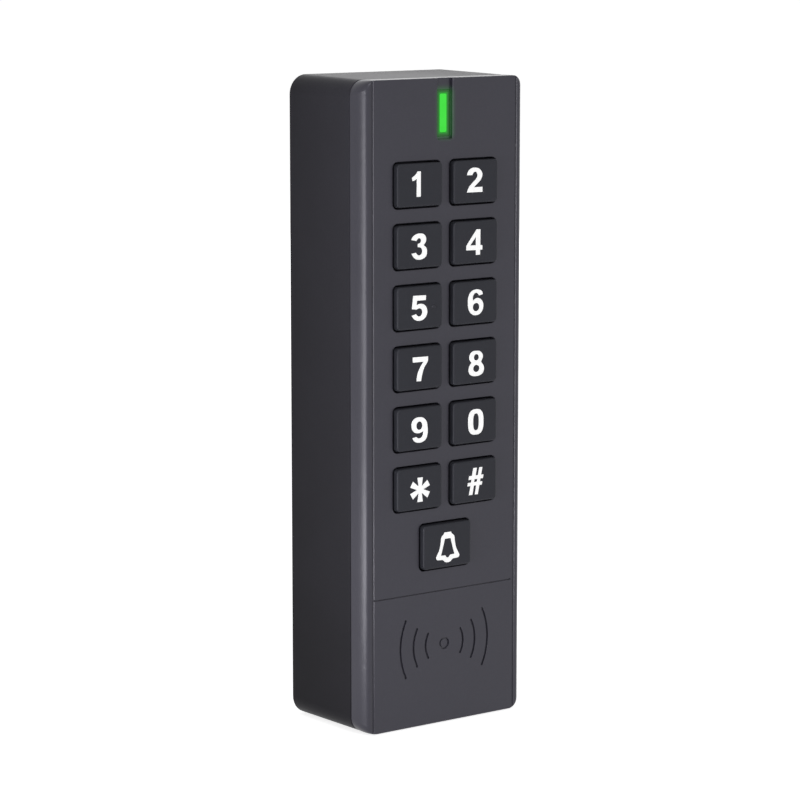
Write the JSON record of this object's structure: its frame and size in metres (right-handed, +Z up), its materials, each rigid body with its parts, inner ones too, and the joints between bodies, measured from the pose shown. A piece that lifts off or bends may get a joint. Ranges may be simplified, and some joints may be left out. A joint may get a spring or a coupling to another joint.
{
  "type": "contactless card reader with keypad",
  "caption": "Slim upright wall-mounted contactless card reader with sprung number keys, star, hash and bell keys, a green indicator bar and an engraved wave symbol.",
  "frame": {"origin": "middle of the wall plate's rear face, on the wall", "axes": "+Z up, +Y into the wall, so the keys face -Y"},
  "size_m": [0.0462, 0.0283, 0.1456],
  "materials": {
    "cover_plastic": "fine satin texture",
    "housing_plastic": "fine satin texture",
    "key_plastic": "smooth satin",
    "seal_rubber": "matt",
    "plate_steel": "zinc plated",
    "screw_steel": "plated",
    "smoked_plastic": "smoked, polished",
    "light_guide": "clear, lit green at its end",
    "led_plastic": "clear resin",
    "mat_silicone": "translucent",
    "carbon_rubber": "matt",
    "gold_plating": "plated",
    "board_laminate": "solder mask",
    "chip_plastic": "moulded epoxy",
    "can_metal": "drawn can",
    "ferrite": "sintered",
    "header_plastic": "moulded nylon",
    "former_plastic": "moulded",
    "copper_wire": "enamelled wire"
  },
  "bodies": {
    "reader": {"front_cover": "cover_plastic", "rear_housing": "housing_plastic", "housing_seal": "seal_rubber", "wall_plate": "plate_steel", "security_screw": "screw_steel", "cover_screws": "screw_steel", "board_screws": "screw_steel", "cable_grommet": "seal_rubber", "indicator_window": "smoked_plastic", "light_pipe": "light_guide", "indicator_leds": "led_plastic", "keypad_mat": "mat_silicone", "contact_pills": "carbon_rubber", "contact_pads": "gold_plating", "key_backlights": "led_plastic", "main_board": "board_laminate", "microcontroller": "chip_plastic", "reader_chip": "chip_plastic", "crystal": "can_metal", "voltage_regulator": "chip_plastic", "power_inductor": "ferrite", "electrolytic_capacitor": "can_metal", "buzzer": "chip_plastic", "tamper_sensor": "chip_plastic", "wire_header": "header_plastic", "ferrite_sheet": "ferrite", "antenna_former": "former_plastic", "antenna_coil": "copper_wire"},
    "key_1": {"key_cap_1": "key_plastic"},
    "key_2": {"key_cap_2": "key_plastic"},
    "key_3": {"key_cap_3": "key_plastic"},
    "key_4": {"key_cap_4": "key_plastic"},
    "key_5": {"key_cap_5": "key_plastic"},
    "key_6": {"key_cap_6": "key_plastic"},
    "key_7": {"key_cap_7": "key_plastic"},
    "key_8": {"key_cap_8": "key_plastic"},
    "key_9": {"key_cap_9": "key_plastic"},
    "key_0": {"key_cap_0": "key_plastic"},
    "key_star": {"key_cap_star": "key_plastic"},
    "key_hash": {"key_cap_hash": "key_plastic"},
    "key_bell": {"key_cap_bell": "key_plastic"}
  },
  "joints": [
    {"name": "key_1_press", "type": "slide", "parent": "reader", "child": "key_1", "axis": [0, 1, 0], "range_m": [0, 0.0008], "stiffness_N_per_m": 800, "springref_m": -0.0008, "deforming": ["keypad_mat"]},
    {"name": "key_2_press", "type": "slide", "parent": "reader", "child": "key_2", "axis": [0, 1, 0], "range_m": [0, 0.0008], "stiffness_N_per_m": 800, "springref_m": -0.0008, "deforming": ["keypad_mat"]},
    {"name": "key_3_press", "type": "slide", "parent": "reader", "child": "key_3", "axis": [0, 1, 0], "range_m": [0, 0.0008], "stiffness_N_per_m": 800, "springref_m": -0.0008, "deforming": ["keypad_mat"]},
    {"name": "key_4_press", "type": "slide", "parent": "reader", "child": "key_4", "axis": [0, 1, 0], "range_m": [0, 0.0008], "stiffness_N_per_m": 800, "springref_m": -0.0008, "deforming": ["keypad_mat"]},
    {"name": "key_5_press", "type": "slide", "parent": "reader", "child": "key_5", "axis": [0, 1, 0], "range_m": [0, 0.0008], "stiffness_N_per_m": 800, "springref_m": -0.0008, "deforming": ["keypad_mat"]},
    {"name": "key_6_press", "type": "slide", "parent": "reader", "child": "key_6", "axis": [0, 1, 0], "range_m": [0, 0.0008], "stiffness_N_per_m": 800, "springref_m": -0.0008, "deforming": ["keypad_mat"]},
    {"name": "key_7_press", "type": "slide", "parent": "reader", "child": "key_7", "axis": [0, 1, 0], "range_m": [0, 0.0008], "stiffness_N_per_m": 800, "springref_m": -0.0008, "deforming": ["keypad_mat"]},
    {"name": "key_8_press", "type": "slide", "parent": "reader", "child": "key_8", "axis": [0, 1, 0], "range_m": [0, 0.0008], "stiffness_N_per_m": 800, "springref_m": -0.0008, "deforming": ["keypad_mat"]},
    {"name": "key_9_press", "type": "slide", "parent": "reader", "child": "key_9", "axis": [0, 1, 0], "range_m": [0, 0.0008], "stiffness_N_per_m": 800, "springref_m": -0.0008, "deforming": ["keypad_mat"]},
    {"name": "key_0_press", "type": "slide", "parent": "reader", "child": "key_0", "axis": [0, 1, 0], "range_m": [0, 0.0008], "stiffness_N_per_m": 800, "springref_m": -0.0008, "deforming": ["keypad_mat"]},
    {"name": "key_star_press", "type": "slide", "parent": "reader", "child": "key_star", "axis": [0, 1, 0], "range_m": [0, 0.0008], "stiffness_N_per_m": 800, "springref_m": -0.0008, "deforming": ["keypad_mat"]},
    {"name": "key_hash_press", "type": "slide", "parent": "reader", "child": "key_hash", "axis": [0, 1, 0], "range_m": [0, 0.0008], "stiffness_N_per_m": 800, "springref_m": -0.0008, "deforming": ["keypad_mat"]},
    {"name": "key_bell_press", "type": "slide", "parent": "reader", "child": "key_bell", "axis": [0, 1, 0], "range_m": [0, 0.0008], "stiffness_N_per_m": 800, "springref_m": -0.0008, "deforming": ["keypad_mat"]}
  ]
}
